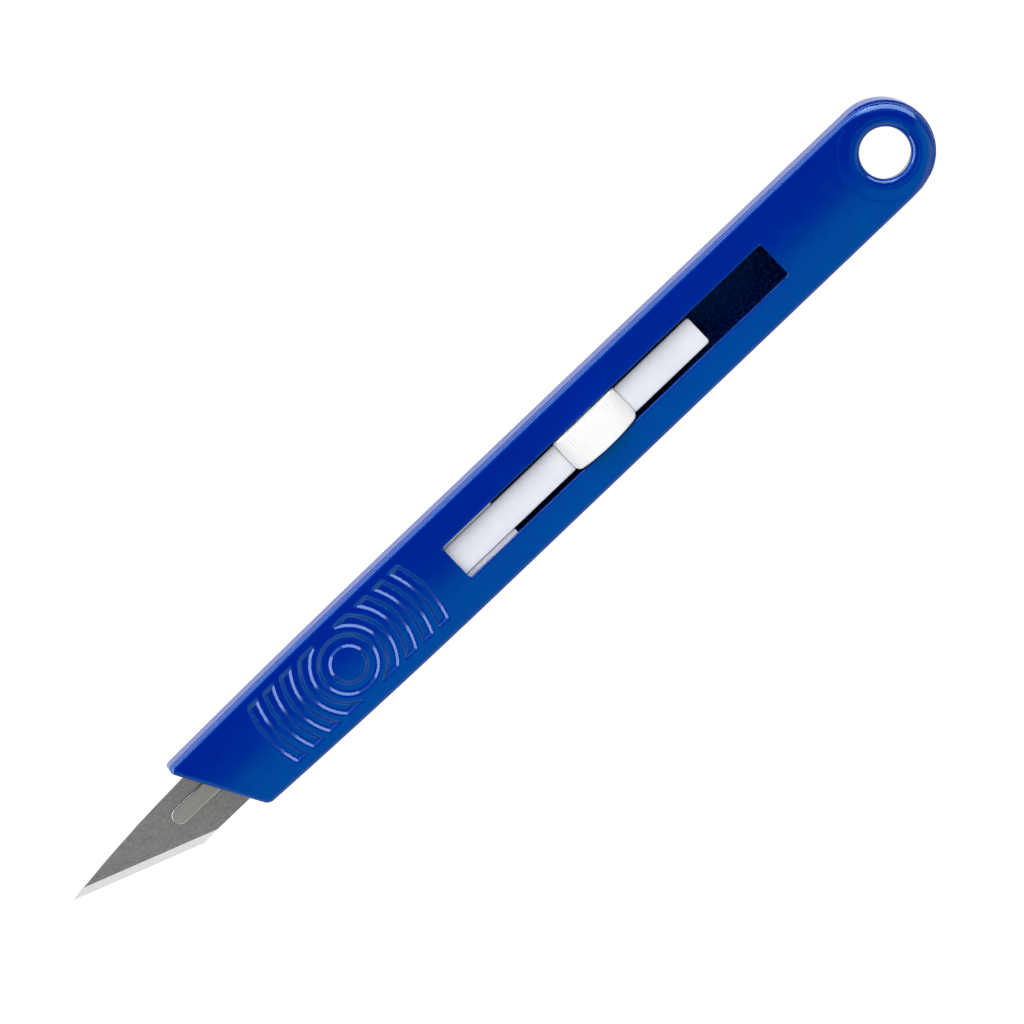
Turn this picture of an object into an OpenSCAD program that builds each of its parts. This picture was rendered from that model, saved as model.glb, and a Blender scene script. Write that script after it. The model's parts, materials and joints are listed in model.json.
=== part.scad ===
// Retractable hobby craft knife with a snap-on scalpel-pattern blade.
// X runs along the knife: the blade tip points to -X and the hang hole is at +X.
// Y runs across it, with the blade's spine on the +Y side.
// Z is up from the flat back, and the thumb window is in the top face.

/* [Handle] */
// Width of the handle across its straight sides
body_w = 10.35; // [10.2:0.05:10.8]
// Thickness of the handle, back to front
body_t = 4.2; // [4.1:0.05:4.4]
// Thickness of the shell's sheet
sheet_t = 0.8; // [0.7:0.05:0.85]
// Height of the seam between rear tray and front cover
seam_z = 3.0; // [2.8:0.05:3.15]
// Height of the narrow groove above the seam
groove_h = 0.4; // [0.3:0.05:0.5]
// Radius of the front cover's outer edges
cover_edge_r = 0.5; // [0.3:0.05:0.55]
// Radius of the rear tray's outer edges
tray_edge_r = 0.5; // [0.3:0.1:0.7]
// X of the slanted nose cut on the centre line
nose_x = -38.8; // [-39.2:0.1:-38.3]
// Slant of the nose cut, X per unit of Y
nose_slope = 0.55; // [0.45:0.01:0.65]
// X of the centre of the round tail and of the hang hole
tail_x = 51.5; // [51:0.05:52]

/* [Hang hole] */
// Diameter of the hang hole in the front cover
hole_d = 5.1; // [4.8:0.1:5.4]
// Diameter of the wider hole behind it in the rear tray
rear_hole_d = 6.6; // [6:0.1:6.8]
// Depth of the shallow dish around the hole in the front face
dish_depth = 0.1; // [0.05:0.05:0.3]

/* [Window] */
// X of the window's front end
window_front = -6.7; // [-7:0.1:-6.6]
// X of the window's rear end
window_rear = 36.4; // [36:0.1:37.5]
// Width of the window
window_w = 4.15; // [4.05:0.05:4.4]

/* [Grip pattern] */
// X of the centre of the grip rings
grip_x = -21.2; // [-21.6:0.1:-20.7]
// Depth of the grip grooves
grip_depth = 0.28; // [0.15:0.01:0.35]
// Width of one grip groove
grip_w = 1.3; // [1:0.05:1.35]
// Arcs on each side of the centre ring
grip_arcs = 4; // [2:1:4]

/* [Blade] */
// X of the blade's tip
tip_x = -56.75; // [-57:0.05:-56]
// Thickness of the blade
blade_t = 0.4; // [0.3:0.02:0.42]
// Angle of the cutting edge to the knife's length
edge_angle = 20.4; // [19.5:0.1:21]
// Width of the ground bevel along the cutting edge
bevel_w = 0.78; // [0.5:0.02:1]

/* [Slider] */
// Width of the sliding bar
bar_w = 3.3; // [3.2:0.05:3.4]
// X of the bar's rear end
bar_rear = 26.3; // [25:0.1:26.5]
// Height of the bar's top
bar_top = 3.2; // [3.15:0.01:3.25]
// X of the carrier block's rear end
block_rear = -0.22; // [-1:0.02:0]

/* [Thumb button] */
// Length of the button
button_l = 8.07; // [7.9:0.01:8.2]
// X of the button's centre
button_x = 12.2; // [12.1:0.05:12.3]
// Width of the button in the window
button_w = 3.8; // [3.7:0.05:3.85]
// Height of the button's arched top at its middle
button_top = 5.4; // [5.2:0.05:5.5]
// Height of the button's top at its two ends
button_end_top = 3.6; // [3.5:0.05:3.8]

/* [Travel] */
// Forward travel of the slider, for changing the blade
travel_out = 14.5; // [13:0.1:14.5]
// Rearward travel of the slider, to cover the blade
travel_in = 19.5; // [18:0.1:19.5]

/* [Hidden] */
$fn = 64;
slack = 0.05;
overcut = 1;
half_w = body_w / 2;
cover_ceiling = body_t - sheet_t;
blue = [0.02, 0.2, 0.58];
steel = [0.62, 0.62, 0.6];
nylon = [0.88, 0.89, 0.91];
white = [0.97, 0.97, 0.97];

// Taper of the two sides towards the nose
upper_taper_x = -10;
upper_taper_l = 30;
upper_drop = 0.33;
lower_taper_x = -5;
lower_taper_l = 31;
lower_drop = 0.56;
taper_steps = 8;
corner_steps = 6;
tail_steps = 12;
edge_steps = 4;
taper_front = -35;

// Corners of the slanted nose, and how much sharper its edge is than the sides
upper_corner_r = 1.0;
lower_corner_r = 0.6;
nose_edge_share = 0.3;
groove_d = 0.2;

// Dish around the hang hole, and the spacer ring under it
dish_floor_r = 3.4;
dish_rim_r = 4.35;
bush_inner_r = 2.95;
bush_outer_r = 4.1;

// Blade outline, blade slot and the tongue that carries the blade
blade_z = 1.97;
blade_top = blade_z + blade_t;
blade_low = -3.08;
tip_y = 1.7;
heel_y = -3.2;
heel_l = 1.5;
spine_y = 3.03;
rear_low_x = -24.5;
rear_high_x = -27;
slot_y = 0.48;
slot_w = 1.6;
slot_front = -44.2;
slot_mid = -35.5;
slot_rear = -29.8;
keyhole_w = 2.9;
tongue_z = 1.35;
tongue_front = -44.6;
tongue_rear = -8;
tongue_w = 4;
boss_w = 1.76;
boss_top = 2.6;
boss_rear = -36;
neck_w = slot_w - 2 * slack;
rivet_xs = [-14.2, -10.4];
rivet_d = 1.4;
rivet_head_d = 2.4;
rivet_head_t = 0.3;

// Nose guide that the blade and tongue slide through
guide_x = [-34.4, -32.2];
guide_y = [-3.6, 4];
guide_slot_y = [-3.2, 3.15];
guide_slot_z = [1.25, 2.7];

// Carrier block
block_front = -16.5;
block_step = -8.5;
block_z = [sheet_t + slack, 3.05];
block_front_y = [-3.6, 3.95];
block_rear_y = 3.95;
bar_seat_z = 2.35;
bar_front = -15;
peg_x = -4;
peg_d = 1.6;
peg_z = 1.5;

// Button underside, its skirts, wings and locking lugs
waist_w = 2.7;
waist_l = 7.7;
skirt_l = 7.2;
skirt_z = 2.72;
wing_w = 5.8;
wing_l = 6.4;
wing_top = 3.1;
lug_l = 1.8;
lug_top = 3.35;
notch_play = 0.25;
notch_l = lug_l + 2 * notch_play;
notch_w = wing_w + notch_play;
notch_depth = 0.3;
button_floor = 3.25;
seat_l = button_l + 0.08;
seat_z = 2.8;
button_corner_r = 0.3;
spring_pocket = [5.4, 2.2, 0.65];
spring_l = 5;
spring_w = 1.8;
spring_t = 0.15;
ridge_w = 0.14;
front_ridges = [-2.75, -2.4, -2.05, -1.7, -1.35];
rear_ridges = [1.5, 1.85, 2.2, 2.55];

// ---- Handle outline ----

function side_half(side, x) =
  side > 0
    ? half_w - upper_drop * pow(max(0, upper_taper_x - x) / upper_taper_l, 2)
    : half_w - lower_drop * pow(max(0, lower_taper_x - x) / lower_taper_l, 2);

function nose_at(y, cut) = nose_x - nose_slope * y + cut * norm([1, nose_slope]);

function nose_corner(side, inset, cut) =
  let (
    guess = side * (side_half(side, nose_at(side * half_w, cut)) - inset),
    y = side * (side_half(side, nose_at(guess, cut)) - inset)
  )
  [nose_at(y, cut), y];

function towards(from, to, distance) = from + (to - from) * distance / norm(to - from);

function rounded_corner(before, corner, after, r) =
  let (start = towards(corner, before, r), end = towards(corner, after, r))
  [
    for (i = [0:corner_steps])
      let (t = i / corner_steps)
      (1 - t) * (1 - t) * start + 2 * t * (1 - t) * corner + t * t * end
  ];

// Points along one side, from the start of its taper towards the nose.
function side_points(side, inset) =
  let (taper_x = side > 0 ? upper_taper_x : lower_taper_x)
  [
    for (i = [0:taper_steps])
      let (x = taper_x + (taper_front - taper_x) * i / taper_steps)
      [x, side * (side_half(side, x) - inset)]
  ];

// Nose end of the handle, from the +Y side round to the -Y side.
function nose_points(inset, cut) =
  let (
    upper = side_points(1, inset),
    lower = side_points(-1, inset),
    upper_tip = nose_corner(1, inset, cut),
    lower_tip = nose_corner(-1, inset, cut)
  )
  concat(
    upper,
    rounded_corner(upper[taper_steps], upper_tip, lower_tip, upper_corner_r),
    rounded_corner(upper_tip, lower_tip, lower[taper_steps], lower_corner_r),
    [for (i = [taper_steps:-1:0]) lower[i]]
  );

function tail_points(inset) = [
  for (i = [-tail_steps:tail_steps])
    let (a = 90 * i / tail_steps, r = half_w - inset)
    [tail_x + r * cos(a), r * sin(a)]
];

// Handle outline seen from the front. inset shrinks the sides and tail; cut trims the nose.
module body_outline(inset = 0, cut = 0) {
  polygon(concat(
    [[tail_x, -half_w + inset], [tail_x, half_w - inset]],
    nose_points(inset, cut)
  ));
  translate([tail_x, 0]) circle(r = half_w - inset);
}

// One level of the rounded slab: the outline at height z.
function level_points(inset, z) = [
  for (p = concat(tail_points(inset), nose_points(inset, inset * nose_edge_share))) [p[0], p[1], z]
];

// Solid slab of the handle from z0 up to z1, with its upper outer edge rounded to edge_r.
module rounded_slab(z0, z1, edge_r) {
  levels = concat(
    [level_points(0, z0)],
    [
      for (i = [0:edge_steps])
        let (a = 90 * i / edge_steps)
        level_points(edge_r * (1 - cos(a)), z1 - edge_r + edge_r * sin(a))
    ]
  );
  n = len(levels[0]);
  top = (len(levels) - 1) * n;
  polyhedron(
    points = [for (level = levels, p = level) p],
    faces = concat(
      [[for (i = [0:n - 1]) i]],
      [[for (i = [n - 1:-1:0]) top + i]],
      [for (k = [0:n:top - n], i = [0:n - 1]) [k + i, k + n + i, k + n + (i + 1) % n]],
      [for (k = [0:n:top - n], i = [0:n - 1]) [k + i, k + n + (i + 1) % n, k + (i + 1) % n]]
    )
  );
}

// Hollow of the shell, open through the nose.
module cavity(z0, z1) {
  translate([0, 0, z0]) linear_extrude(z1 - z0) body_outline(sheet_t, -overcut);
}

// ---- Front cover ----

module ring(r, w) {
  difference() {
    circle(r = r + w / 2);
    circle(r = r - w / 2);
  }
}

module grip_grooves() {
  ring_r = 2.4;
  first_arc_r = 4.35;
  arc_pitch = 1.96;
  arc_low = -3.6;
  arc_high = 3.95;
  arc_gap = 2.6;
  grip_y = 0.12;
  translate([grip_x, grip_y, body_t - grip_depth]) linear_extrude(grip_depth + overcut) {
    ring(ring_r, grip_w);
    difference() {
      intersection() {
        for (i = [0:grip_arcs - 1]) ring(first_arc_r + i * arc_pitch, grip_w);
        translate([-2 * body_w, arc_low]) square([4 * body_w, arc_high - arc_low]);
      }
      square([arc_gap, 4 * body_w], center = true);
    }
  }
}

module window_cut() {
  corner_r = 0.3;
  length = window_rear - window_front;
  centre = (window_rear + window_front) / 2;
  translate([centre, 0, cover_ceiling - overcut]) linear_extrude(sheet_t + 2 * overcut) {
    square([length, window_w - 2 * corner_r], center = true);
    square([length - 2 * corner_r, window_w], center = true);
    for (sx = [-1, 1], sy = [-1, 1])
      translate([sx * (length / 2 - corner_r), sy * (window_w / 2 - corner_r)])
        circle(r = corner_r, $fn = 32);
  }
}

// Pockets under the face, beside the window, that the button's lugs lock into.
module lock_notches() {
  for (x = [button_x - travel_out, button_x, button_x + travel_in])
    translate([x - notch_l / 2, -notch_w / 2, cover_ceiling - overcut])
      cube([notch_l, notch_w, notch_depth + overcut]);
}

module front_cover() {
  color(blue) difference() {
    union() {
      rounded_slab(seam_z + groove_h, body_t, cover_edge_r);
      translate([0, 0, seam_z]) linear_extrude(2 * groove_h) body_outline(groove_d, groove_d);
    }
    cavity(seam_z - overcut, cover_ceiling);
    translate([tail_x, 0, 0]) cylinder(d = hole_d, h = body_t + overcut);
    translate([tail_x, 0, body_t - dish_depth])
      cylinder(r1 = dish_floor_r, r2 = 2 * dish_rim_r - dish_floor_r, h = 2 * dish_depth);
    window_cut();
    grip_grooves();
    lock_notches();
  }
}

// ---- Rear tray ----

module rear_tray() {
  color(blue) difference() {
    translate([0, 0, seam_z]) mirror([0, 0, 1]) rounded_slab(0, seam_z, tray_edge_r);
    cavity(sheet_t, seam_z + overcut);
    translate([tail_x, 0, -overcut]) cylinder(d = rear_hole_d, h = body_t);
  }
}

// Steel ring that spaces and joins the two shells around the hang hole.
module hole_bush() {
  color(steel) translate([tail_x, 0, sheet_t]) difference() {
    cylinder(r = bush_outer_r, h = cover_ceiling - sheet_t);
    translate([0, 0, -overcut]) cylinder(r = bush_inner_r, h = body_t);
  }
}

module blade_guide() {
  color(nylon) difference() {
    translate([guide_x[0], guide_y[0], sheet_t])
      cube([guide_x[1] - guide_x[0], guide_y[1] - guide_y[0], cover_ceiling - sheet_t]);
    translate([guide_x[0] - overcut, guide_slot_y[0], guide_slot_z[0]])
      cube([
        guide_x[1] - guide_x[0] + 2 * overcut,
        guide_slot_y[1] - guide_slot_y[0],
        guide_slot_z[1] - guide_slot_z[0]
      ]);
  }
}

// ---- Slider ----

module carrier_block() {
  color(nylon) difference() {
    translate([0, 0, block_z[0]]) linear_extrude(block_z[1] - block_z[0]) polygon([
      [block_front, block_front_y[0]],
      [block_step, block_front_y[0]],
      [block_step + 0.5, -block_rear_y],
      [block_rear, -block_rear_y],
      [block_rear, block_rear_y],
      [block_front, block_front_y[1]]
    ]);
    translate([bar_front - slack, -bar_w / 2 - slack, bar_seat_z])
      cube([-bar_front + overcut, bar_w + 2 * slack, body_t]);
    translate([block_front - overcut, slot_y - tongue_w / 2, tongue_z])
      cube([tongue_rear - block_front + overcut, tongue_w, blade_z - slack - tongue_z]);
    rivets();
    bar_peg();
  }
}

module bar_peg() {
  translate([peg_x, 0, peg_z]) cylinder(d = peg_d, h = bar_seat_z - peg_z + slack);
}

module thumb_bar() {
  corner_r = 0.33;
  color(nylon) {
    difference() {
      translate([0, 0, bar_seat_z]) linear_extrude(bar_top - bar_seat_z) {
        translate([bar_front, -bar_w / 2]) square([bar_rear - corner_r - bar_front, bar_w]);
        translate([bar_rear - 2 * corner_r, -bar_w / 2 + corner_r])
          square([2 * corner_r, bar_w - 2 * corner_r]);
        for (side = [-1, 1])
          translate([bar_rear - corner_r, side * (bar_w / 2 - corner_r)])
            circle(r = corner_r, $fn = 32);
      }
      translate([button_x - seat_l / 2, -bar_w, seat_z]) cube([seat_l, 2 * bar_w, body_t]);
      for (side = [-1, 1])
        translate([button_x - waist_l / 2, side * (waist_w + bar_w) / 2 - bar_w / 2, 0])
          cube([waist_l, bar_w, body_t]);
    }
    bar_peg();
  }
}

// ---- Blade and its tongue ----

module boss_plan(w, front, rear) {
  translate([front + w / 2, slot_y]) circle(d = w, $fn = 48);
  translate([front + w / 2, slot_y - w / 2]) square([rear - front - w / 2, w]);
}

module blade_tongue() {
  neck_front = slot_front + slack;
  flange_z = blade_top + slack / 2;
  front_r = 1.2;
  color(steel) difference() {
    union() {
      translate([0, 0, tongue_z]) linear_extrude(blade_z - slack - tongue_z) {
        translate([tongue_front + front_r, slot_y - tongue_w / 2])
          square([tongue_rear - tongue_front - front_r, tongue_w]);
        translate([tongue_front, slot_y - tongue_w / 2 + front_r])
          square([front_r * 2, tongue_w - 2 * front_r]);
        for (side = [-1, 1])
          translate([tongue_front + front_r, slot_y + side * (tongue_w / 2 - front_r)])
            circle(r = front_r, $fn = 48);
      }
      translate([0, 0, tongue_z]) linear_extrude(boss_top - tongue_z)
        boss_plan(neck_w, neck_front, boss_rear);
      translate([0, 0, flange_z]) linear_extrude(boss_top - flange_z)
        boss_plan(boss_w, slot_front - (boss_w - slot_w) / 2, boss_rear);
    }
    rivets();
  }
}

// Space taken by the rivets that fix the tongue in the block.
module rivets() {
  for (x = rivet_xs) translate([x, slot_y, 0]) {
    translate([0, 0, block_z[0]]) cylinder(d = rivet_d, h = bar_seat_z - block_z[0]);
    translate([0, 0, bar_seat_z - rivet_head_t])
      cylinder(d = rivet_head_d, h = rivet_head_t);
    translate([0, 0, block_z[0]]) cylinder(d = rivet_head_d, h = rivet_head_t);
  }
}

module tongue_rivets() {
  color(steel) rivets();
}

module blade_outline() {
  edge_run = (tip_y - heel_y) / tan(edge_angle);
  polygon([
    [tip_x, tip_y],
    [tip_x + edge_run, heel_y],
    [tip_x + edge_run + heel_l, blade_low],
    [rear_low_x, blade_low],
    [rear_high_x, spine_y],
    [-38, spine_y],
    [-40.8, 3],
    [-43.8, 2.88],
    [-46.9, 2.71],
    [-51.7, 2.3]
  ]);
}

// Wedge ground off the blade's upper face along the cutting edge.
module bevel_wedge() {
  edge_l = 20;
  edge_half_t = 0.015;
  middle = blade_t / 2;
  translate([tip_x, tip_y, blade_z + middle])
    rotate([0, 0, -edge_angle]) rotate([90, 0, 90])
      translate([0, 0, -overcut]) linear_extrude(edge_l) polygon([
        [-overcut, edge_half_t],
        [0, edge_half_t],
        [bevel_w, middle],
        [bevel_w, middle + overcut],
        [-overcut, middle + overcut]
      ]);
}

module blade() {
  color(steel) difference() {
    translate([0, 0, blade_z]) linear_extrude(blade_t) difference() {
      blade_outline();
      boss_plan(slot_w, slot_front, slot_mid + slack);
      translate([slot_mid, slot_y - keyhole_w / 2])
        square([slot_rear - slot_mid, keyhole_w]);
    }
    bevel_wedge();
    translate([0, 0, 2 * blade_z + blade_t]) mirror([0, 0, 1]) bevel_wedge();
  }
}

// ---- Thumb button ----

// Rounded bar in plan, used for the button's body.
module button_plan(l, w, r) {
  square([l - 2 * r, w], center = true);
  square([l, w - 2 * r], center = true);
  for (sx = [-1, 1], sy = [-1, 1])
    translate([sx * (l / 2 - r), sy * (w / 2 - r)]) circle(r = r, $fn = 32);
}

// Everything below the button's arched top, as a wide cylinder lying across the knife.
module arch_space() {
  rise = button_top - button_end_top;
  arch_r = (button_l * button_l / 4 + rise * rise) / (2 * rise);
  translate([0, 0, button_top - arch_r]) rotate([90, 0, 0])
    cylinder(r = arch_r, h = 2 * button_w, center = true, $fn = 180);
}

// Fine finger ridges, cut as shallow grooves across the arched top.
module ridge_grooves() {
  rise = button_top - button_end_top;
  for (x = concat(front_ridges, rear_ridges))
    translate([x, 0, button_top - rise * pow(2 * x / button_l, 2)])
      rotate([90, 45, 0])
        cube([ridge_w, ridge_w, 2 * button_w], center = true);
}

module thumb_button() {
  color(white) translate([button_x, 0, 0]) {
    difference() {
      intersection() {
        translate([0, 0, button_floor]) linear_extrude(button_top - button_floor)
          button_plan(button_l, button_w, button_corner_r);
        arch_space();
      }
      ridge_grooves();
      translate([-spring_pocket[0] / 2, -spring_pocket[1] / 2, button_floor - overcut])
        cube([spring_pocket[0], spring_pocket[1], spring_pocket[2] + overcut]);
    }
    for (side = [-1, 1]) {
      skirt_in = waist_w / 2 + slack;
      skirt_y = side > 0 ? skirt_in : -button_w / 2;
      wing_y = side > 0 ? skirt_in : -wing_w / 2;
      translate([-skirt_l / 2, skirt_y, skirt_z])
        cube([skirt_l, button_w / 2 - skirt_in, button_floor + slack - skirt_z]);
      translate([-wing_l / 2, wing_y, skirt_z])
        cube([wing_l, wing_w / 2 - skirt_in, wing_top - skirt_z]);
      translate([-lug_l / 2, wing_y, skirt_z])
        cube([lug_l, wing_w / 2 - skirt_in, lug_top - skirt_z]);
    }
  }
}

// Bowed leaf spring between the bar and the button.
module button_spring() {
  rise = button_floor + spring_pocket[2] - seat_z - spring_t;
  bow_r = (spring_l * spring_l / 4 + rise * rise) / (2 * rise);
  color(steel) translate([button_x, 0, 0]) intersection() {
    translate([0, 0, seat_z + rise - bow_r]) rotate([90, 0, 0])
      difference() {
        cylinder(r = bow_r + spring_t, h = spring_w, center = true, $fn = 96);
        cylinder(r = bow_r, h = spring_w + overcut, center = true, $fn = 96);
      }
    translate([-spring_l / 2, -spring_w / 2, seat_z]) cube([spring_l, spring_w, body_t]);
  }
}

front_cover();
rear_tray();
hole_bush();
blade_guide();
carrier_block();
thumb_bar();
blade_tongue();
tongue_rivets();
blade();
thumb_button();
button_spring();
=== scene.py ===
import json
import math

import bpy
import numpy as np
from mathutils import Matrix, Vector, geometry


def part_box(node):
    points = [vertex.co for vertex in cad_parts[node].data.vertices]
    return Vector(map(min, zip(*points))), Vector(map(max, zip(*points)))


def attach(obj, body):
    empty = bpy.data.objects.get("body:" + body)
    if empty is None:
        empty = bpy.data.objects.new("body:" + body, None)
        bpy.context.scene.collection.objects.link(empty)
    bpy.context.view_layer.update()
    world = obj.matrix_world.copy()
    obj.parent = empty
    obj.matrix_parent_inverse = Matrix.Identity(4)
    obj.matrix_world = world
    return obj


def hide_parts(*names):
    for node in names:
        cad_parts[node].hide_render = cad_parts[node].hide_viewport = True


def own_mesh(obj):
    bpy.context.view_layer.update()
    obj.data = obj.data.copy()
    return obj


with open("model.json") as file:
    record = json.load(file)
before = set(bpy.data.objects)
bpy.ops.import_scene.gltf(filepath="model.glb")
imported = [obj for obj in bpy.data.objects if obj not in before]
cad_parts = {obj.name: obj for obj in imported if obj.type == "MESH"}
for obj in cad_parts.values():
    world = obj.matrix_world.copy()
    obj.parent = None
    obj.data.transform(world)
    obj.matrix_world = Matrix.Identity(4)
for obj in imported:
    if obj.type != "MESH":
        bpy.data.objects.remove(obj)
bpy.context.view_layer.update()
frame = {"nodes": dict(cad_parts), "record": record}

MM = 0.001


def box_mm(node):
    """Lowest and highest corner of a CAD node, in millimetres."""
    low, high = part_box(node)
    return [v / MM for v in low], [v / MM for v in high]


# ---- Dimensions, in millimetres ----

COVER_LOW, COVER_HIGH = box_mm("front_cover")
TRAY_LOW, TRAY_HIGH = box_mm("rear_tray")
BAR_LOW, BAR_HIGH = box_mm("thumb_bar")
BLOCK_LOW, BLOCK_HIGH = box_mm("carrier_block")
BLADE_LOW, BLADE_HIGH = box_mm("blade")
TONGUE_LOW, TONGUE_HIGH = box_mm("blade_tongue")
BUTTON_LOW, BUTTON_HIGH = box_mm("thumb_button")
SPRING_LOW, SPRING_HIGH = box_mm("button_spring")
# Each joint's lowest and highest travel
TRAVEL = {j["name"]: [v / MM for v in j["range_m"]] for j in frame["record"]["behaviour"]["joints"]}
HOLE = next(m for m in frame["record"]["mounts"] if m["name"] == "hang_hole")

SEAM_Z = COVER_LOW[2]
TOP_Z = COVER_HIGH[2]
HALF_W = COVER_HIGH[1]
HOLE_X = HOLE["pos_m"][0] / MM
HOLE_R = HOLE["dims"]["r_mm"]
TAIL_X = COVER_HIGH[0] - HALF_W
REAR_HOLE_R = 3.3
HOLE_CONE_R, HOLE_CONE_SLOPE = 3.0, 1.05
SHEET = 0.8
NOSE_X, NOSE_SLOPE = -38.8, 0.55
UPPER_TAPER, UPPER_TAPER_X, UPPER_TAPER_L = 0.33, -10, 30
LOWER_TAPER, LOWER_TAPER_X, LOWER_TAPER_L = 0.56, -5, 31
GROOVE_TOP, GROOVE_DEPTH = SEAM_Z + 0.4, 0.2
SKIRT_OVERLAP = 0.3
FAR = 9.0  # farther than any feature is from the surface that it cuts

# Radii of the handle's corners and edges
UPPER_NOSE_R, LOWER_NOSE_R = 0.75, 0.45
COVER_EDGE = {"side_r": 0.5, "nose_r": 0.35, "tail_r": 1.35}
TRAY_EDGE = {"side_r": 0.5, "nose_r": 0.25, "tail_r": 0.5}
NOSE_BLEND, TAIL_BLEND = (-1.2, 0.8), (-1.5, 2.5)
COVER_LIP_R, COVER_INSIDE_R = 0.05, 0.08
SEAM_R, TRAY_INSIDE_R = 0.1, 0.1
WINDOW_CORNER_R, WINDOW_EDGE_R = 0.25, 0.1
CONE_EDGE_R, HOLE_EDGE_R = 0.18, 0.2


# ---- Distance fields ----

def smoothstep(low, high, v):
    t = np.clip((v - low) / (high - low), 0, 1)
    return t * t * (3 - 2 * t)


def round_max(a, b, r):
    """Intersection of two fields with the shared edge rounded to radius r."""
    return np.minimum(np.maximum(a, b), -r) + np.hypot(np.maximum(a + r, 0), np.maximum(b + r, 0))


def round_box(x, y, low, high, r):
    """Distance to a rectangle in two dimensions with corners of radius r."""
    cx, cy = (low[0] + high[0]) / 2, (low[1] + high[1]) / 2
    qx = np.abs(x - cx) - (high[0] - low[0]) / 2 + r
    qy = np.abs(y - cy) - (high[1] - low[1]) / 2 + r
    return np.hypot(np.maximum(qx, 0), np.maximum(qy, 0)) + np.minimum(np.maximum(qx, qy), 0) - r


def side_distance(x, y):
    """Distance outside the handle's two tapering sides and its round tail."""
    upper = HALF_W - UPPER_TAPER * (np.maximum(0, UPPER_TAPER_X - x) / UPPER_TAPER_L) ** 2
    lower = HALF_W - LOWER_TAPER * (np.maximum(0, LOWER_TAPER_X - x) / LOWER_TAPER_L) ** 2
    sides = np.where(y > 0, y - upper, -y - lower)
    return np.where(x > TAIL_X, np.hypot(x - TAIL_X, y) - HALF_W, sides)


def nose_distance(x, y):
    return (NOSE_X - NOSE_SLOPE * y - x) / math.hypot(1, NOSE_SLOPE)


def plan_distance(x, y):
    corner_r = np.where(y > 0, UPPER_NOSE_R, LOWER_NOSE_R)
    return round_max(side_distance(x, y), nose_distance(x, y), corner_r)


def edge_radius(x, y, side_r, nose_r, tail_r):
    """The sides are rounder than the slanted nose edge, and the tail is rounder still."""
    near_side = smoothstep(*NOSE_BLEND, side_distance(x, y) - nose_distance(x, y))
    at_tail = smoothstep(TAIL_X + TAIL_BLEND[0], TAIL_X + TAIL_BLEND[1], x)
    return nose_r + (side_r - nose_r) * near_side + (tail_r - side_r) * at_tail


DISH_STEP = 0.012
DISH_RINGS = ((3.3, 3.7), (4.6, 5.0))


def dish(x, y):
    """Depth of the shallow dish, in two steps, pressed around the hang hole."""
    r = np.hypot(x - HOLE_X, y)
    return sum(DISH_STEP * (1 - smoothstep(*ring, r)) for ring in DISH_RINGS)


GRIP_X, GRIP_Y = -21.2, 0.12
GRIP_DEPTH = 0.26
GRIP_WALL = 0.46
RING_R, RING_HALF_W = 2.4, 0.78
ARC_COUNT, ARC_R, ARC_PITCH, ARC_HALF_W = 4, 4.35, 1.96, 0.72
ARC_MID_Y, ARC_HALF_H, ARC_GAP, ARC_CORNER_R = 0.22, 3.8, 1.3, 0.25


def grip(x, y):
    """Depth of the finger grip: one ring and four pairs of arcs."""
    r = np.hypot(x - GRIP_X, y - GRIP_Y)
    ring = np.abs(r - RING_R) - RING_HALF_W
    arcs = np.full_like(r, FAR)
    for i in range(ARC_COUNT):
        arcs = np.minimum(arcs, np.abs(r - ARC_R - ARC_PITCH * i) - ARC_HALF_W)
    arcs = round_max(arcs, np.abs(y - ARC_MID_Y) - ARC_HALF_H, ARC_CORNER_R)
    arcs = round_max(arcs, ARC_GAP - np.abs(x - GRIP_X), ARC_CORNER_R)
    return GRIP_DEPTH * smoothstep(0, GRIP_WALL, -np.minimum(ring, arcs))


CROWN = 0.12


def cover_top(x, y):
    crown = CROWN * (y / HALF_W) ** 2
    return TOP_Z - crown - dish(x, y) - grip(x, y)


WINDOW_LOW, WINDOW_HIGH = (-6.7, -2.075), (36.4, 2.075)
NOTCH_HALF_L, NOTCH_HALF_W, NOTCH_DEPTH, NOTCH_CORNER_R = 1.15, 3.025, 0.3, 0.1


def lock_notches(x, y, z):
    """Pockets under the sheet that the button's lugs rise into where the slider locks."""
    field = np.full_like(x, FAR)
    for shift in (0, *TRAVEL["carrier_slide"]):
        plan = round_box(x - BUTTON_X - shift, y, (-NOTCH_HALF_L, -NOTCH_HALF_W),
                         (NOTCH_HALF_L, NOTCH_HALF_W), NOTCH_CORNER_R)
        field = np.minimum(field, np.maximum(plan, z - TOP_Z + SHEET - NOTCH_DEPTH))
    return field


def cover_field(x, y, z):
    plan = plan_distance(x, y)
    plate = round_max(plan, z - cover_top(x, y), edge_radius(x, y, **COVER_EDGE))
    plate = round_max(plate, GROOVE_TOP - z, COVER_LIP_R)
    skirt = np.maximum(plan + GROOVE_DEPTH, np.maximum(SEAM_Z - z, z - GROOVE_TOP - SKIRT_OVERLAP))
    outer = np.minimum(plate, skirt)
    cavity = np.maximum(side_distance(x, y) + SHEET, z - TOP_Z + SHEET)
    body = round_max(outer, -cavity, COVER_INSIDE_R)
    window = round_box(x, y, WINDOW_LOW, WINDOW_HIGH, WINDOW_CORNER_R)
    body = round_max(body, -window, WINDOW_EDGE_R)
    body = np.maximum(body, -lock_notches(x, y, z))
    r = np.hypot(x - HOLE_X, y)
    cone = (HOLE_CONE_R - (TOP_Z - z) / HOLE_CONE_SLOPE - r) / math.hypot(1, 1 / HOLE_CONE_SLOPE)
    body = round_max(body, cone, CONE_EDGE_R)
    return round_max(body, HOLE_R - r, HOLE_EDGE_R)


def tray_cavity(x, y, z):
    return np.maximum(side_distance(x, y) + SHEET, SHEET - z)


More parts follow.
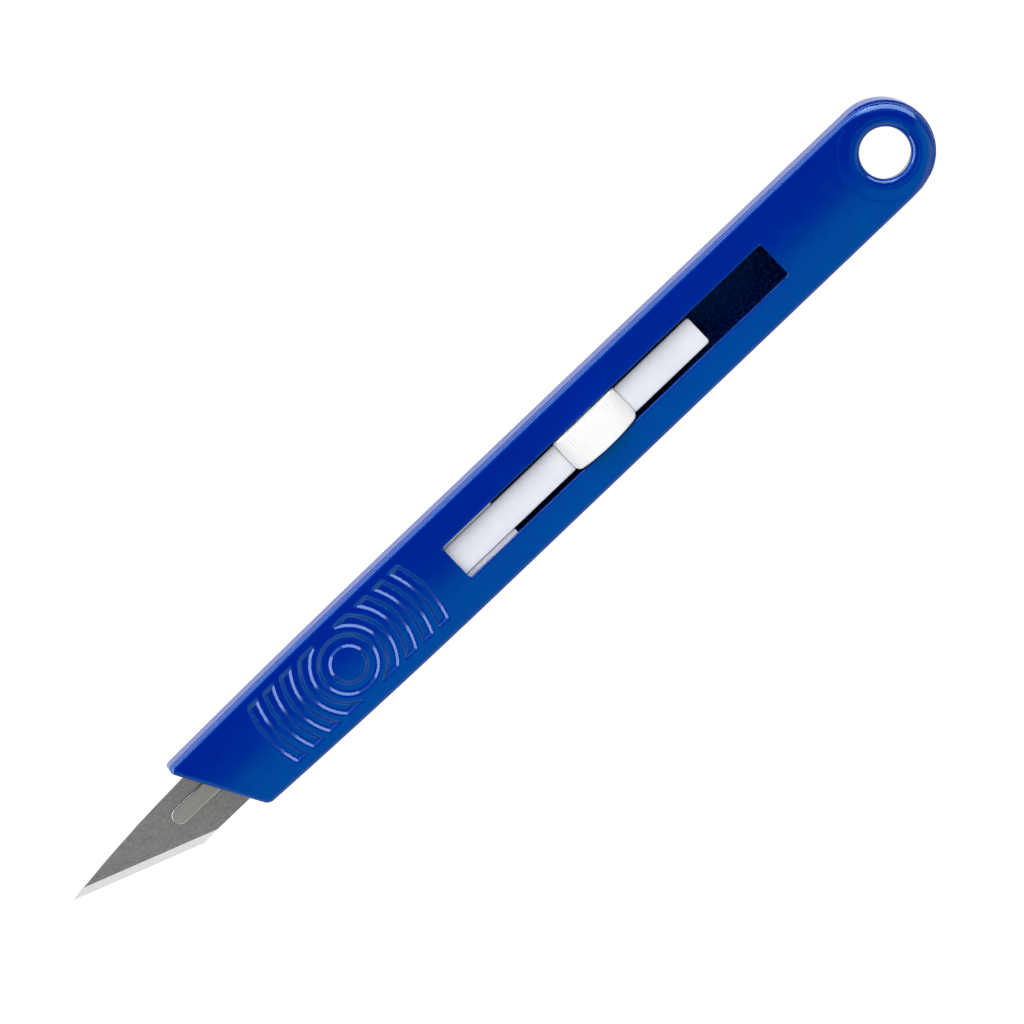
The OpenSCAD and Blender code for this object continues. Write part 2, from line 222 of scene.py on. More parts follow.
def tray_field(x, y, z):
    plan = plan_distance(x, y)
    outer = round_max(plan, -z, edge_radius(x, y, **TRAY_EDGE))
    outer = round_max(outer, z - SEAM_Z, SEAM_R)
    body = round_max(outer, -tray_cavity(x, y, z), TRAY_INSIDE_R)
    hole = np.hypot(x - HOLE_X, y) - REAR_HOLE_R
    return round_max(body, -hole, HOLE_EDGE_R)


BUTTON_X = (BUTTON_LOW[0] + BUTTON_HIGH[0]) / 2
BUTTON_L = BUTTON_HIGH[0] - BUTTON_LOW[0]
BUTTON_W = 3.8
BUTTON_END_TOP = 3.6
BUTTON_FLOOR = 3.25
BUTTON_UPPER_R, BUTTON_LOWER_R = 0.2, 0.6
BUTTON_EDGE_R, BUTTON_FLOOR_R = 0.14, 0.05
RIDGES = [-2.75, -2.4, -2.05, -1.7, -1.35, 1.5, 1.85, 2.2, 2.55]
RIDGE_H, RIDGE_W = 0.035, 0.07
POCKET_HALF_L, POCKET_HALF_W, POCKET_DEPTH, POCKET_CORNER_R = 2.7, 1.1, 0.65, 0.1

# Half length, outer y, top z and corner radius of the legs beside the bar, the wings under the
# cover and the lugs on the wings
LIMB_INNER_Y = 1.4
LIMBS = [(3.6, 1.9, 3.3, 0.1), (3.2, 2.9, 3.1, 0.2), (0.9, 2.9, 3.35, 0.1)]


def button_field(x, y, z):
    u = x - BUTTON_X
    rise = BUTTON_HIGH[2] - BUTTON_END_TOP
    arch_r = (BUTTON_L ** 2 / 4 + rise ** 2) / (2 * rise)
    arch = np.hypot(u, z - BUTTON_HIGH[2] + arch_r) - arch_r
    for ridge in RIDGES:
        arch = arch + RIDGE_H * np.exp(-((u - ridge) / RIDGE_W) ** 2)
    corner_r = np.where(y > 0, BUTTON_UPPER_R, BUTTON_LOWER_R)
    plan = round_box(u, y, (-BUTTON_L / 2, -BUTTON_W / 2), (BUTTON_L / 2, BUTTON_W / 2), corner_r)
    body = round_max(plan, arch, BUTTON_EDGE_R)
    body = round_max(body, BUTTON_FLOOR - z, BUTTON_FLOOR_R)
    pocket = round_box(u, y, (-POCKET_HALF_L, -POCKET_HALF_W),
                       (POCKET_HALF_L, POCKET_HALF_W), POCKET_CORNER_R)
    body = np.maximum(body, -np.maximum(pocket, z - BUTTON_FLOOR - POCKET_DEPTH))
    for half_l, outer_y, top_z, limb_r in LIMBS:
        limb = round_box(u, np.abs(y), (-half_l, LIMB_INNER_Y), (half_l, outer_y), limb_r)
        body = np.minimum(body, np.maximum(limb, np.maximum(z - top_z, BUTTON_LOW[2] - z)))
    return body


SPRING_T = 0.15
SPRING_CLEAR = 0.01


def spring_field(x, y, z):
    """A bowed strip, a hair clear of the bar below it and of the button above it."""
    low, high = SPRING_LOW[2] + SPRING_CLEAR, SPRING_HIGH[2] - SPRING_CLEAR
    half_l = (SPRING_HIGH[0] - SPRING_LOW[0]) / 2
    rise = high - low - SPRING_T
    bow_r = (half_l ** 2 + rise ** 2) / (2 * rise) + SPRING_T / 2
    middle = np.hypot(x - BUTTON_X, z - high + SPRING_T / 2 + bow_r) - bow_r
    ends = np.maximum(np.abs(x - BUTTON_X) - half_l, np.abs(y) - SPRING_HIGH[1])
    return np.maximum(np.abs(middle) - SPRING_T / 2, np.maximum(ends, low - z))


SEAT_Z, SEAT_CLEAR = 2.8, 0.01
BAR_CORNER_R, BAR_EDGE_R, BAR_UNDER_R = 0.33, 0.07, 0.05
BAR_UNDER_Z = 2.35
WAIST_HALF_L, WAIST_HALF_W = 3.85, 1.35
PEG_X, PEG_R, PEG_TOP_Z, PEG_HOLE_Z = -4, 0.8, 2.5, 1.5


def bar_field(x, y, z):
    half = BAR_HIGH[1]
    plan = round_box(x, y, (BAR_LOW[0], -half), (BAR_HIGH[0], half), BAR_CORNER_R)
    seat = np.maximum(np.abs(x - BUTTON_X) - BUTTON_L / 2 - SEAT_CLEAR, SEAT_Z - z)
    waist = np.maximum(np.abs(x - BUTTON_X) - WAIST_HALF_L, WAIST_HALF_W - np.abs(y))
    body = round_max(plan, z - BAR_HIGH[2], BAR_EDGE_R)
    body = round_max(body, BAR_UNDER_Z - z, BAR_UNDER_R)
    body = np.maximum(body, -seat)
    body = round_max(body, -waist, BAR_UNDER_R)
    peg = np.maximum(np.hypot(x - PEG_X, y) - PEG_R, np.maximum(BAR_LOW[2] - z, z - PEG_TOP_Z))
    return np.minimum(body, peg)


SLOT_Y = 0.48
STRIP_HALF_W = 2
BLOCK_HALF_W, BLOCK_FRONT_Y = 3.95, -3.6
BLOCK_STEP_X, BLOCK_STEP_LAP = -8, 0.5
BLOCK_FRONT_R, BLOCK_REAR_R, BLOCK_EDGE_R = 0.2, 0.12, 0.1
CHANNEL_FRONT_X, CHANNEL_EDGE_R = -15.05, 0.04
# The block laps the bar a little on the +Y side, so that no gap shows there
CHANNEL_UPPER_PLAY, CHANNEL_LOWER_PLAY = -0.04, 0.02
SLOT_MID_Z, SLOT_HALF_H = 1.635, 0.285


def block_field(x, y, z):
    """The block, its front part narrower, with a channel for the bar and a slot for the tongue."""
    front = round_box(x, y, (BLOCK_LOW[0], BLOCK_FRONT_Y), (BLOCK_STEP_X, BLOCK_HALF_W), BLOCK_FRONT_R)
    rear = round_box(x, y, (BLOCK_STEP_X - BLOCK_STEP_LAP, -BLOCK_HALF_W),
                     (BLOCK_HIGH[0], BLOCK_HALF_W), BLOCK_REAR_R)
    plan = np.minimum(front, rear)
    body = round_max(plan, z - BLOCK_HIGH[2], BLOCK_EDGE_R)
    body = round_max(body, BLOCK_LOW[2] - z, BLOCK_EDGE_R)
    play = np.where(y > 0, CHANNEL_UPPER_PLAY, CHANNEL_LOWER_PLAY)
    channel = np.maximum(np.abs(y) - BAR_HIGH[1] - play, np.maximum(BAR_UNDER_Z - z, CHANNEL_FRONT_X - x))
    body = round_max(body, -channel, CHANNEL_EDGE_R)
    slot_section = np.maximum(np.abs(y - SLOT_Y) - STRIP_HALF_W, np.abs(z - SLOT_MID_Z) - SLOT_HALF_H)
    body = np.maximum(body, -np.maximum(slot_section, x - BLOCK_STEP_X))
    peg_hole = np.maximum(np.hypot(x - PEG_X, y) - PEG_R, PEG_HOLE_Z - z)
    return np.maximum(body, -peg_hole)


STRIP_TOP_Z, STRIP_CORNER_R, STRIP_EDGE_R = 1.92, 1.2, 0.08
BOSS_REAR_X = -36
NECK_W, NECK_FRONT_X, NECK_LOW_Z, NECK_TOP_Z = 1.5, -44.15, 1.5, 2.5
FLANGE_W, FLANGE_FRONT_X, FLANGE_EDGE_R, FLANGE_CLEAR = 1.76, -44.28, 0.1, 0.02


def boss_distance(x, y, width, front):
    """Distance to a bar along the slot with a round front end, seen from above."""
    r = width / 2
    along = np.clip(x, front + r, BOSS_REAR_X)
    nose = np.hypot(x - along, y - SLOT_Y) - r
    return np.maximum(nose, x - BOSS_REAR_X)


def tongue_field(x, y, z):
    """A strip, with a neck through the blade's slot and a flange that lies over the blade."""
    strip = round_box(x, y, (TONGUE_LOW[0], SLOT_Y - STRIP_HALF_W),
                      (TONGUE_HIGH[0], SLOT_Y + STRIP_HALF_W), STRIP_CORNER_R)
    strip = round_max(strip, np.maximum(z - STRIP_TOP_Z, TONGUE_LOW[2] - z), STRIP_EDGE_R)
    neck = np.maximum(boss_distance(x, y, NECK_W, NECK_FRONT_X), np.maximum(z - NECK_TOP_Z, NECK_LOW_Z - z))
    flange = boss_distance(x, y, FLANGE_W, FLANGE_FRONT_X)
    flange = round_max(flange, z - TONGUE_HIGH[2], FLANGE_EDGE_R)
    flange = np.maximum(flange, BLADE_HIGH[2] + FLANGE_CLEAR - z)
    return np.minimum(strip, np.minimum(neck, flange))


# ---- Meshes ----

def cell_corners(values, step):
    """Grid values at one corner of every cell."""
    sx, sy, sz = step
    nx, ny, nz = values.shape
    return values[sx:nx - 1 + sx, sy:ny - 1 + sy, sz:nz - 1 + sz]


def surface_points(values, origin, spacing):
    """One point for every grid cell that the surface crosses, and the cells' numbers."""
    corners = [(i, j, k) for i in (0, 1) for j in (0, 1) for k in (0, 1)]
    shape = tuple(n - 1 for n in values.shape)
    total = np.zeros(shape + (3,))
    count = np.zeros(shape)
    for a in corners:
        for axis in range(3):
            if a[axis]:
                continue
            b = tuple(a[n] + (n == axis) for n in range(3))
            va, vb = cell_corners(values, a), cell_corners(values, b)
            crossed = (va < 0) != (vb < 0)
            share = np.where(crossed, va / np.where(va == vb, 1, va - vb), 0)
            for n in range(3):
                total[..., n] += crossed * (a[n] + (share if n == axis else 0))
            count += crossed
    used = count > 0
    number = np.full(shape, -1, dtype=np.int64)
    number[used] = np.arange(used.sum())
    cells = np.argwhere(used)
    points = (cells + total[used] / count[used][:, None]) * spacing + origin
    return points, number


def surface_quads(values, number):
    """A quad round every grid edge that the surface crosses, turned to face outwards."""
    quads = []
    inside = values < 0
    for axis in range(3):
        u, v = (axis + 1) % 3, (axis + 2) % 3
        first = [slice(None)] * 3
        second = [slice(None)] * 3
        first[axis], second[axis] = slice(0, -1), slice(1, None)
        for n in (u, v):
            first[n] = second[n] = slice(1, -1)
        start, end = inside[tuple(first)], inside[tuple(second)]
        ring = []
        for du, dv in ((0, 0), (1, 0), (1, 1), (0, 1)):
            part = [slice(None)] * 3
            part[u] = slice(du, number.shape[u] - 1 + du)
            part[v] = slice(dv, number.shape[v] - 1 + dv)
            ring.append(number[tuple(part)])
        for mask, order in ((start & ~end, (0, 1, 2, 3)), (~start & end, (3, 2, 1, 0))):
            quads.append(np.stack([ring[n][mask] for n in order], axis=-1))
    return np.concatenate(quads)


def gradient(field, points):
    """Slope of the field at each point, by central differences."""
    h = 0.01
    parts = []
    for axis in range(3):
        ahead, behind = points.copy(), points.copy()
        ahead[:, axis] += h
        behind[:, axis] -= h
        parts.append((field(*ahead.T) - field(*behind.T)) / (2 * h))
    return np.stack(parts, axis=-1)


FIT_STEPS = 5
MIN_SLOPE_SQUARED = 0.05
GRID_MARGIN = 2.5


def field_mesh(name, field, low, high, spacing):
    """Mesh of the surface where the field is zero, with smooth normals from the field."""
    spacing = np.array(spacing)
    origin = np.array(low) - GRID_MARGIN * spacing
    counts = np.ceil((np.array(high) - origin) / spacing + 3).astype(int)
    axes = [origin[n] + spacing[n] * np.arange(counts[n]) for n in range(3)]
    grid = np.meshgrid(*axes, indexing="ij")
    values = field(*grid)
    points, number = surface_points(values, origin, spacing)
    quads = surface_quads(values, number)
    start = points.copy()
    for _ in range(FIT_STEPS):
        slope = gradient(field, points)
        size = np.maximum((slope ** 2).sum(axis=1), MIN_SLOPE_SQUARED)
        points -= (field(*points.T) / size)[:, None] * slope
        points = start + np.clip(points - start, -spacing, spacing)
    normals = gradient(field, points)
    normals /= np.maximum(np.linalg.norm(normals, axis=1), 1e-6)[:, None]
    mesh = bpy.data.meshes.new(name)
    mesh.vertices.add(len(points))
    mesh.vertices.foreach_set("co", (points * MM).ravel())
    mesh.loops.add(quads.size)
    mesh.loops.foreach_set("vertex_index", quads.ravel())
    mesh.polygons.add(len(quads))
    mesh.polygons.foreach_set("loop_start", np.arange(len(quads)) * 4)
    mesh.update(calc_edges=True)
    mesh.validate()
    mesh.polygons.foreach_set("use_smooth", np.ones(len(mesh.polygons), dtype=bool))
    mesh.normals_split_custom_set_from_vertices(normals.tolist())
    return mesh


def add_piece(name, mesh, body, node, materials):
    piece = bpy.data.objects.new(name, mesh)
    bpy.context.scene.collection.objects.link(piece)
    for material in materials:
        mesh.materials.append(material)
    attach(piece, body)
    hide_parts(node)
    return piece


# ---- Materials ----

class Nodes:
    """Small helper to build one node material."""

    def __init__(self, name):
        self.material = bpy.data.materials.new(name)
        self.material.use_nodes = True
        self.tree = self.material.node_tree
        self.shader = self.tree.nodes["Principled BSDF"]
        self.place = self.add("ShaderNodeTexCoord").outputs["Object"]

    def add(self, kind, **values):
        node = self.tree.nodes.new(kind)
        for key, value in values.items():
            setattr(node, key, value)
        return node

    def link(self, output, target):
        self.tree.links.new(output, target)

    def set(self, **values):
        for key, value in values.items():
            self.shader.inputs[key.replace("_", " ")].default_value = value

    def noise(self, scale, detail=3, roughness=0.5, stretch=(1, 1, 1)):
        """Noise whose scale is features per millimetre."""
        mapping = self.add("ShaderNodeMapping")
        mapping.inputs["Scale"].default_value = [s / MM for s in stretch]
        self.link(self.place, mapping.inputs["Vector"])
        noise = self.add("ShaderNodeTexNoise")
        noise.inputs["Scale"].default_value = scale
        noise.inputs["Detail"].default_value = detail
        noise.inputs["Roughness"].default_value = roughness
        self.link(mapping.outputs["Vector"], noise.inputs["Vector"])
        return noise.outputs["Fac"]

    def ramp(self, value, low, high, out_low, out_high):
        node = self.add("ShaderNodeMapRange")
        for key, v in (("From Min", low), ("From Max", high), ("To Min", out_low), ("To Max", out_high)):
            node.inputs[key].default_value = v
        self.link(value, node.inputs["Value"])
        return node.outputs["Result"]

    def mix(self, share, a, b):
        """Colour between a and b, each of them a colour or a node's output."""
        node = self.add("ShaderNodeMix", data_type="RGBA")
        for key, colour in (("A", a), ("B", b)):
            if isinstance(colour, tuple):
                node.inputs[key].default_value = (*colour, 1)
            else:
                self.link(colour, node.inputs[key])
        self.link(share, node.inputs["Factor"])
        return node.outputs["Result"]

    def bump(self, height, distance_mm, below=None):
        node = self.add("ShaderNodeBump")
        node.inputs["Distance"].default_value = distance_mm * MM
        node.inputs["Strength"].default_value = 1.0
        self.link(height, node.inputs["Height"])
        if below is not None:
            self.link(below, node.inputs["Normal"])
        return node.outputs["Normal"]

    def drive(self, socket, output):
        self.link(output, self.shader.inputs[socket])


NOISE_RANGE = (0.3, 0.7)  # most of the noise lies between these
STREAK_RANGE = (0.25, 0.75)
FLAT_RANGE = (0.86, 0.97)  # upward part of the normal, from a slope to a flat face
SLOPE_SHINE, FLAT_SHINE = (0.5, 0.68, 1), (0.01, 0.9, 1)


def paint_material(name, dark, light, edge, peel_mm, peel_scale, rough, shine=FLAT_SHINE, ior=1.5):
    """Gloss enamel. Where the sheet curves its colour turns lighter, which is a painted reflection, and
    there it shines whiter.
    """
    n = Nodes(name)
    n.set(IOR=ior)
    up = n.add("ShaderNodeSeparateXYZ")
    n.link(n.add("ShaderNodeTexCoord").outputs["Normal"], up.inputs["Vector"])
    flatness = n.ramp(up.outputs["Z"], *FLAT_RANGE, 0, 1)
    n.drive("Specular Tint", n.mix(flatness, SLOPE_SHINE, shine))
    colour = n.mix(n.ramp(n.noise(0.12, 2), *NOISE_RANGE, 0, 1), dark, light)
    # Slopes take the edge colour: a painted reflection of the lights in the curved paint
    n.drive("Base Color", n.mix(flatness, edge, colour))
    n.drive("Roughness", n.ramp(n.noise(0.8, 4), *NOISE_RANGE, rough - 0.03, rough + 0.03))
    peel = n.bump(n.noise(peel_scale, 2), peel_mm)
    n.drive("Normal", n.bump(n.noise(peel_scale * 6, 2), peel_mm * 0.08, below=peel))
    return n.material


def nylon_material(name, dark, light, rough):
    """Moulded plastic that lets a little light in."""
    n = Nodes(name)
    n.set(Subsurface_Weight=0.25, Subsurface_Radius=(0.6, 0.6, 0.7), Subsurface_Scale=0.0008, IOR=1.5)
    n.drive("Base Color", n.mix(n.ramp(n.noise(0.25, 3), *NOISE_RANGE, 0, 1), dark, light))
    n.drive("Roughness", n.ramp(n.noise(1.5, 4), *NOISE_RANGE, rough - 0.05, rough + 0.05))
    n.drive("Normal", n.bump(n.noise(5, 3), 0.004))
    return n.material


def steel_material(name, dark, light, rough, grain=(0.15, 2.5, 2.5)):
    """Bare steel with a fine grain; grain gives its stretch along each axis."""
    n = Nodes(name)
    n.set(Metallic=1.0)
    streaks = n.noise(3.0, 5, 0.6, grain)
    n.drive("Base Color", n.mix(n.ramp(streaks, *STREAK_RANGE, 0, 1), dark, light))
    n.drive("Roughness", n.ramp(n.noise(1.2, 4), *NOISE_RANGE, rough - 0.05, rough + 0.06))
    n.drive("Normal", n.bump(streaks, 0.003))
    return n.material


# The third blue, lighter and greener, is a painted reflection of the softbox on slopes and curved edges
BLUE_DARK, BLUE_LIGHT, BLUE_SLOPE_PAINTED_SHEEN = (0, 0.0095, 0.26), (0, 0.0115, 0.285), (0, 0.042, 0.31)
PAINT = paint_material("paint_outside", BLUE_DARK, BLUE_LIGHT, BLUE_SLOPE_PAINTED_SHEEN, 0.003, 0.9, 0.13)
PAINT_BACK = paint_material("paint_tray", BLUE_DARK, BLUE_LIGHT, BLUE_SLOPE_PAINTED_SHEEN, 0.003, 0.9, 0.13, ior=1.2)
# The inside paint is near black as painted shade for the deep recess under the window; its slope colour is
# a painted reflection like the outside's
PAINT_IN_PAINTED_SHADE = paint_material("paint_inside_painted_shade", (0, 0.001, 0.035), (0, 0.002, 0.055), (0, 0.002, 0.05),
                          0.3, 3.2, 0.2, shine=(0.01, 0.25, 0.7))
# The bar's, block's and guide's plastic is the button's white made greyer and bluer: painted shade of the
# recess, tinted like light bounced off the blue cover
NYLON_PAINTED_SHADE = nylon_material("nylon_painted_shade", (0.76, 0.78, 0.82), (0.82, 0.84, 0.87), 0.42)
WHITE = nylon_material("plastic_white", (0.9, 0.9, 0.9), (0.93, 0.93, 0.93), 0.32)
BLADE_FACE = steel_material("blade_satin", (0.16, 0.155, 0.15), (0.25, 0.243, 0.235), 0.42, (0.9, 1.6, 1.6))
BLADE_GROUND = steel_material("blade_ground", (0.42, 0.42, 0.42), (0.5, 0.5, 0.5), 0.28, (2.5, 0.2, 2.5))
TONGUE_STEEL = steel_material("tongue_satin", (0.24, 0.235, 0.225), (0.3, 0.295, 0.285), 0.36)
BARE_STEEL = steel_material("steel_turned", (0.25, 0.24, 0.235), (0.36, 0.35, 0.34), 0.3, (1, 1, 1))


# ---- Handle ----

def make_cover():
    mesh = field_mesh("front_cover_shell", cover_field, COVER_LOW, COVER_HIGH, (0.2, 0.15, 0.12))
    add_piece("front_cover_shell", mesh, "handle", "front_cover", [PAINT])


INNER_SKIN = 0.06


def make_tray():
    """The tray, with wrinkled paint on its inside, coloured near black as painted shade for the recess."""
    mesh = field_mesh("rear_tray_shell", tray_field, TRAY_LOW, TRAY_HIGH, (0.22, 0.16, 0.14))
    add_piece("rear_tray_shell", mesh, "handle", "rear_tray", [PAINT_BACK, PAINT_IN_PAINTED_SHADE])
    centres = np.zeros(len(mesh.polygons) * 3)
    mesh.polygons.foreach_get("center", centres)
    inner = tray_cavity(*(centres.reshape(-1, 3) / MM).T) < INNER_SKIN
    mesh.polygons.foreach_set("material_index", inner.astype(np.int32))


# ---- Slider ----

def make_bar():
    mesh = field_mesh("thumb_bar_moulding", bar_field, BAR_LOW, BAR_HIGH, (0.07, 0.09, 0.07))
    add_piece("thumb_bar_moulding", mesh, "slider", "thumb_bar", [NYLON_PAINTED_SHADE])


def make_block():
    mesh = field_mesh("carrier_moulding", block_field, BLOCK_LOW, BLOCK_HIGH, (0.1, 0.08, 0.08))
    add_piece("carrier_moulding", mesh, "slider", "carrier_block", [NYLON_PAINTED_SHADE])


def make_tongue():
    mesh = field_mesh("tongue_strip", tongue_field, TONGUE_LOW, TONGUE_HIGH, (0.12, 0.08, 0.06))
    add_piece("tongue_strip", mesh, "slider", "blade_tongue", [TONGUE_STEEL])


BLADE_TIP = (BLADE_LOW[0], 1.7)
EDGE_ANGLE = math.radians(20.4)
BEVEL_W = 0.78
BEVEL_REACH = (-8, 40)
EDGE_HALF_T = 0.015
HEEL_L, HEEL_Y, LOWER_Y, SPINE_Y = 1.5, -3.2, -3.08, 3.03
WELD = 1e-5


def blade_outline():
    """The blade's edge points: cutting edge, heel, rear, spine."""
    heel_x = BLADE_TIP[0] + (BLADE_TIP[1] - HEEL_Y) / math.tan(EDGE_ANGLE)
    return [BLADE_TIP, (heel_x, HEEL_Y), (heel_x + HEEL_L, LOWER_Y), (-24.5, LOWER_Y), (-27, SPINE_Y),
            (-38, SPINE_Y), (-40.8, 3.0), (-43.8, 2.88), (-46.9, 2.71), (-51.7, 2.3)]


def blade_slot():
    """The slot for the tongue, with its wider keyhole towards the rear."""
    r, front, mid, rear, wide = 0.8, -44.2, -35.5, -29.8, 1.45
    arc = [math.radians(a) for a in range(90, 271, 10)]
    nose = [(front + r + r * math.cos(a), SLOT_Y + r * math.sin(a)) for a in arc]
    return nose + [(mid, SLOT_Y - r), (mid, SLOT_Y - wide), (rear, SLOT_Y - wide),
                   (rear, SLOT_Y + wide), (mid, SLOT_Y + wide), (mid, SLOT_Y + r)]


def edge_distance(x, y):
    """Distance inside the cutting edge's line."""
    return (x - BLADE_TIP[0]) * math.sin(EDGE_ANGLE) + (y - BLADE_TIP[1]) * math.cos(EDGE_ANGLE)


def bevel_line():
    """Where the ground bevel meets the blade's flat face, from the spine to the lower edge."""
    normal = Vector((math.sin(EDGE_ANGLE), math.cos(EDGE_ANGLE)))
    along = Vector((math.cos(EDGE_ANGLE), -math.sin(EDGE_ANGLE)))
    start = Vector(BLADE_TIP) + normal * BEVEL_W
    return [start + along * s for s in BEVEL_REACH]


def inside_loop(point, loop):
    """Whether the point is inside the closed loop, by counting the edges to its right."""
    hits = 0
    for a, b in zip(loop, loop[1:] + loop[:1]):
        if (a.y > point.y) != (b.y > point.y):
            hits += point.x < a.x + (point.y - a.y) * (b.x - a.x) / (b.y - a.y)
    return hits % 2 == 1


def make_blade():
    """The flat blade with its slot, thinned to an edge along the bevel."""
    loops = [[Vector(p) for p in outline] for outline in (blade_outline(), blade_slot())]
    points = loops[0] + loops[1] + bevel_line()
    edges, start = [], 0
    for loop in loops:
        edges += [(start + i, start + (i + 1) % len(loop)) for i in range(len(loop))]
        start += len(loop)
    edges.append((start, start + 1))
    flat, _, faces, *_ = geometry.delaunay_2d_cdt(points, edges, [], 0, WELD)
    half_t = (BLADE_HIGH[2] - BLADE_LOW[2]) / 2
    middle = (BLADE_HIGH[2] + BLADE_LOW[2]) / 2
    kept = []
    for face in faces:
        centre = sum((flat[i] for i in face), Vector((0, 0))) / len(face)
        if inside_loop(centre, loops[0]) and not inside_loop(centre, loops[1]):
            kept.append(face if geometry.normal(*[flat[i].to_3d() for i in face[:3]]).z > 0 else face[::-1])
    used = sorted({i for face in kept for i in face})
    place = {old: new for new, old in enumerate(used)}
    kept = [[place[i] for i in face] for face in kept]
    flat = [flat[i] for i in used]
    n = len(flat)
    share = [min(1, max(0, edge_distance(p.x, p.y) / BEVEL_W)) for p in flat]
    rise = [EDGE_HALF_T + (half_t - EDGE_HALF_T) * s for s in share]
    verts = [(p.x, p.y, middle + r) for p, r in zip(flat, rise)]
    verts += [(p.x, p.y, middle - r) for p, r in zip(flat, rise)]
    polys = [tuple(f) for f in kept] + [tuple(i + n for i in reversed(f)) for f in kept]
    rim = {(a, b) for face in kept for a, b in zip(face, face[1:] + face[:1])}
    polys += [(b, a, a + n, b + n) for a, b in sorted(rim) if (b, a) not in rim]
    mesh = bpy.data.meshes.new("blade_ground")
    mesh.from_pydata([tuple(c * MM for c in v) for v in verts], [], polys)
    mesh.validate()
    mesh.update()
    add_piece("blade_ground", mesh, "slider", "blade", [BLADE_FACE, BLADE_GROUND])
    for poly in mesh.polygons:
        centre = poly.center / MM
        if abs(poly.normal.z) > 0.5 and edge_distance(centre.x, centre.y) < BEVEL_W - 0.01:
            poly.material_index = 1


# ---- Button ----

def make_button():
    mesh = field_mesh("thumb_button_moulding", button_field, BUTTON_LOW, BUTTON_HIGH, (0.06, 0.07, 0.06))
    add_piece("thumb_button_moulding", mesh, "button", "thumb_button", [WHITE])


def make_spring():
    """The leaf spring, a bowed strip between the bar and the button, on a mesh of its own."""
    mesh = field_mesh("leaf_spring", spring_field, SPRING_LOW, SPRING_HIGH, (0.06, 0.08, 0.04))
    spring = add_piece("leaf_spring", mesh, "button", "button_spring", [BARE_STEEL])
    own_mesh(spring)


def finish_cad_node(node, material):
    """Gives a CAD node that keeps its shape a better material."""
    data = frame["nodes"][node].data
    data.materials.clear()
    data.materials.append(material)


# ---- Camera, floor and lights ----

TILT = math.radians(11)
TURN_X, TURN_Y = 0.7233, 0.6905  # the knife's direction in the picture
CAMERA_AIM = Vector((0.70, -0.11, 4.2)) * MM
CAMERA_DISTANCE = 3.0
VIEW_WIDTH = 100.4 * MM
FLOOR_GAP = 0.02 * MM


def make_camera():
    right = Vector((TURN_X, -TURN_Y * math.cos(TILT), TURN_Y * math.sin(TILT)))
    up = Vector((TURN_Y, TURN_X * math.cos(TILT), -TURN_X * math.sin(TILT)))
    back = Vector((0, math.sin(TILT), math.cos(TILT)))
    data = bpy.data.cameras.new("camera")
    data.sensor_width = 36
    data.lens = data.sensor_width * CAMERA_DISTANCE / VIEW_WIDTH
    data.clip_start, data.clip_end = 0.05, 20
    camera = bpy.data.objects.new("camera", data)
    camera.matrix_world = Matrix.Translation(CAMERA_AIM + back * CAMERA_DISTANCE) @ Matrix(
        (right, up, back)).transposed().to_4x4()
    bpy.context.scene.collection.objects.link(camera)
    bpy.context.scene.camera = camera


def make_floor():
    size = 6.0
    mesh = bpy.data.meshes.new("floor")
    z = TRAY_LOW[2] * MM - FLOOR_GAP
    corners = [(-size, -size, z), (size, -size, z), (size, size, z), (-size, size, z)]
    mesh.from_pydata(corners, [], [(0, 1, 2, 3)])
    floor = bpy.data.objects.new("floor", mesh)
    bpy.context.scene.collection.objects.link(floor)
    n = Nodes("floor_white")
    n.set(Roughness=0.8, Emission_Strength=0.97, Emission_Color=(1, 1, 1, 1), Specular_IOR_Level=0.0)
    n.drive("Base Color", n.mix(n.noise(0.05, 2), (0.2, 0.2, 0.2), (0.22, 0.22, 0.22)))
    mesh.materials.append(n.material)


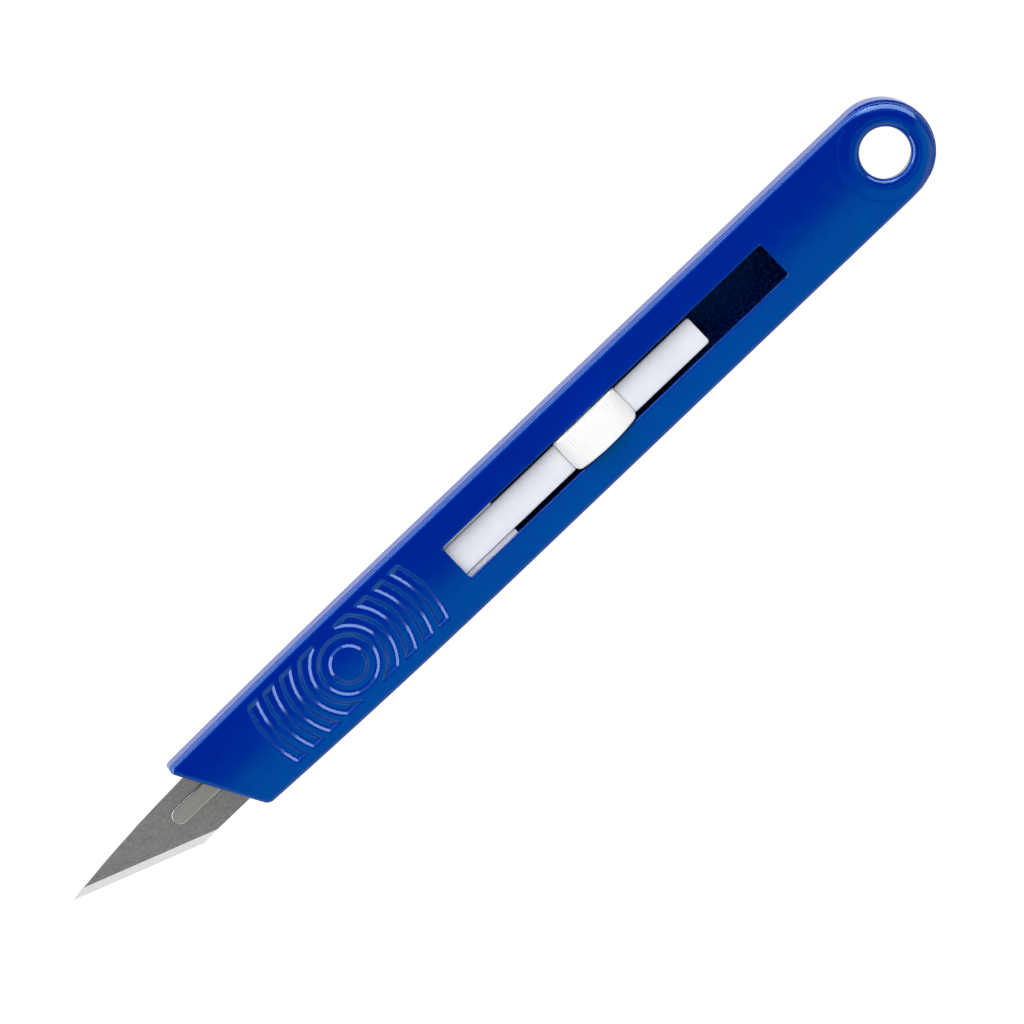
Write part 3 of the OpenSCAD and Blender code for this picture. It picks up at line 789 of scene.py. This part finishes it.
def area_light(name, azimuth, elevation, size, strength, tint=(1, 1, 1), glossy=True, diffuse=True):
    """A soft panel facing the knife. Azimuth 90 is on the +Y side, and strength is its radiance."""
    distance = 0.9
    a, e = math.radians(azimuth), math.radians(elevation)
    way = Vector((math.cos(a) * math.cos(e), math.sin(a) * math.cos(e), math.sin(e)))
    data = bpy.data.lights.new(name, "AREA")
    data.shape = "RECTANGLE"
    data.size, data.size_y = size
    data.energy = strength * math.pi * size[0] * size[1]
    data.color = tint
    light = bpy.data.objects.new(name, data)
    side = Vector((-math.sin(a), math.cos(a), 0))
    light.matrix_world = Matrix.Translation(way * distance) @ Matrix(
        (side, way.cross(side), way)).transposed().to_4x4()
    light.visible_camera = False
    light.visible_glossy = glossy
    light.visible_diffuse = diffuse
    bpy.context.scene.collection.objects.link(light)


def make_lights():
    """Panels that show in the gloss, two fills that don't, and a darker room for the gloss."""
    world = bpy.data.worlds.new("studio")
    bpy.context.scene.world = world
    world.use_nodes = True
    tree = world.node_tree
    room = tree.nodes.new("ShaderNodeMix")
    room.data_type = "RGBA"
    room.inputs["A"].default_value = (0.45, 0.45, 0.45, 1)
    room.inputs["B"].default_value = (0.12, 0.12, 0.115, 1)
    tree.links.new(tree.nodes.new("ShaderNodeLightPath").outputs["Is Glossy Ray"], room.inputs["Factor"])
    tree.links.new(room.outputs["Result"], tree.nodes["Background"].inputs["Color"])
    area_light("key_softbox", -90, 43, (2.2, 1.287), 1.5, diffuse=False)
    area_light("edge_strip", 90, 10, (2.4, 0.35), 8.0, tint=(0.6, 0.9, 1), diffuse=False)
    area_light("side_left", 150, 24, (1.07, 0.52), 8.5, diffuse=False)
    area_light("side_right", 30, 24, (1.07, 0.52), 8.5, diffuse=False)
    area_light("near_fill", -90, 60, (2.2, 0.9), 0.35, glossy=False)
    area_light("far_fill", 90, 36, (1.4, 0.7), 3.2, glossy=False)


make_camera()
make_floor()
make_lights()
make_cover()
make_tray()
make_bar()
make_block()
make_tongue()
make_blade()
make_button()
make_spring()
finish_cad_node("hole_bush", BARE_STEEL)
finish_cad_node("tongue_rivets", BARE_STEEL)
finish_cad_node("blade_guide", NYLON_PAINTED_SHADE)
bpy.context.scene.view_settings.view_transform = "Standard"
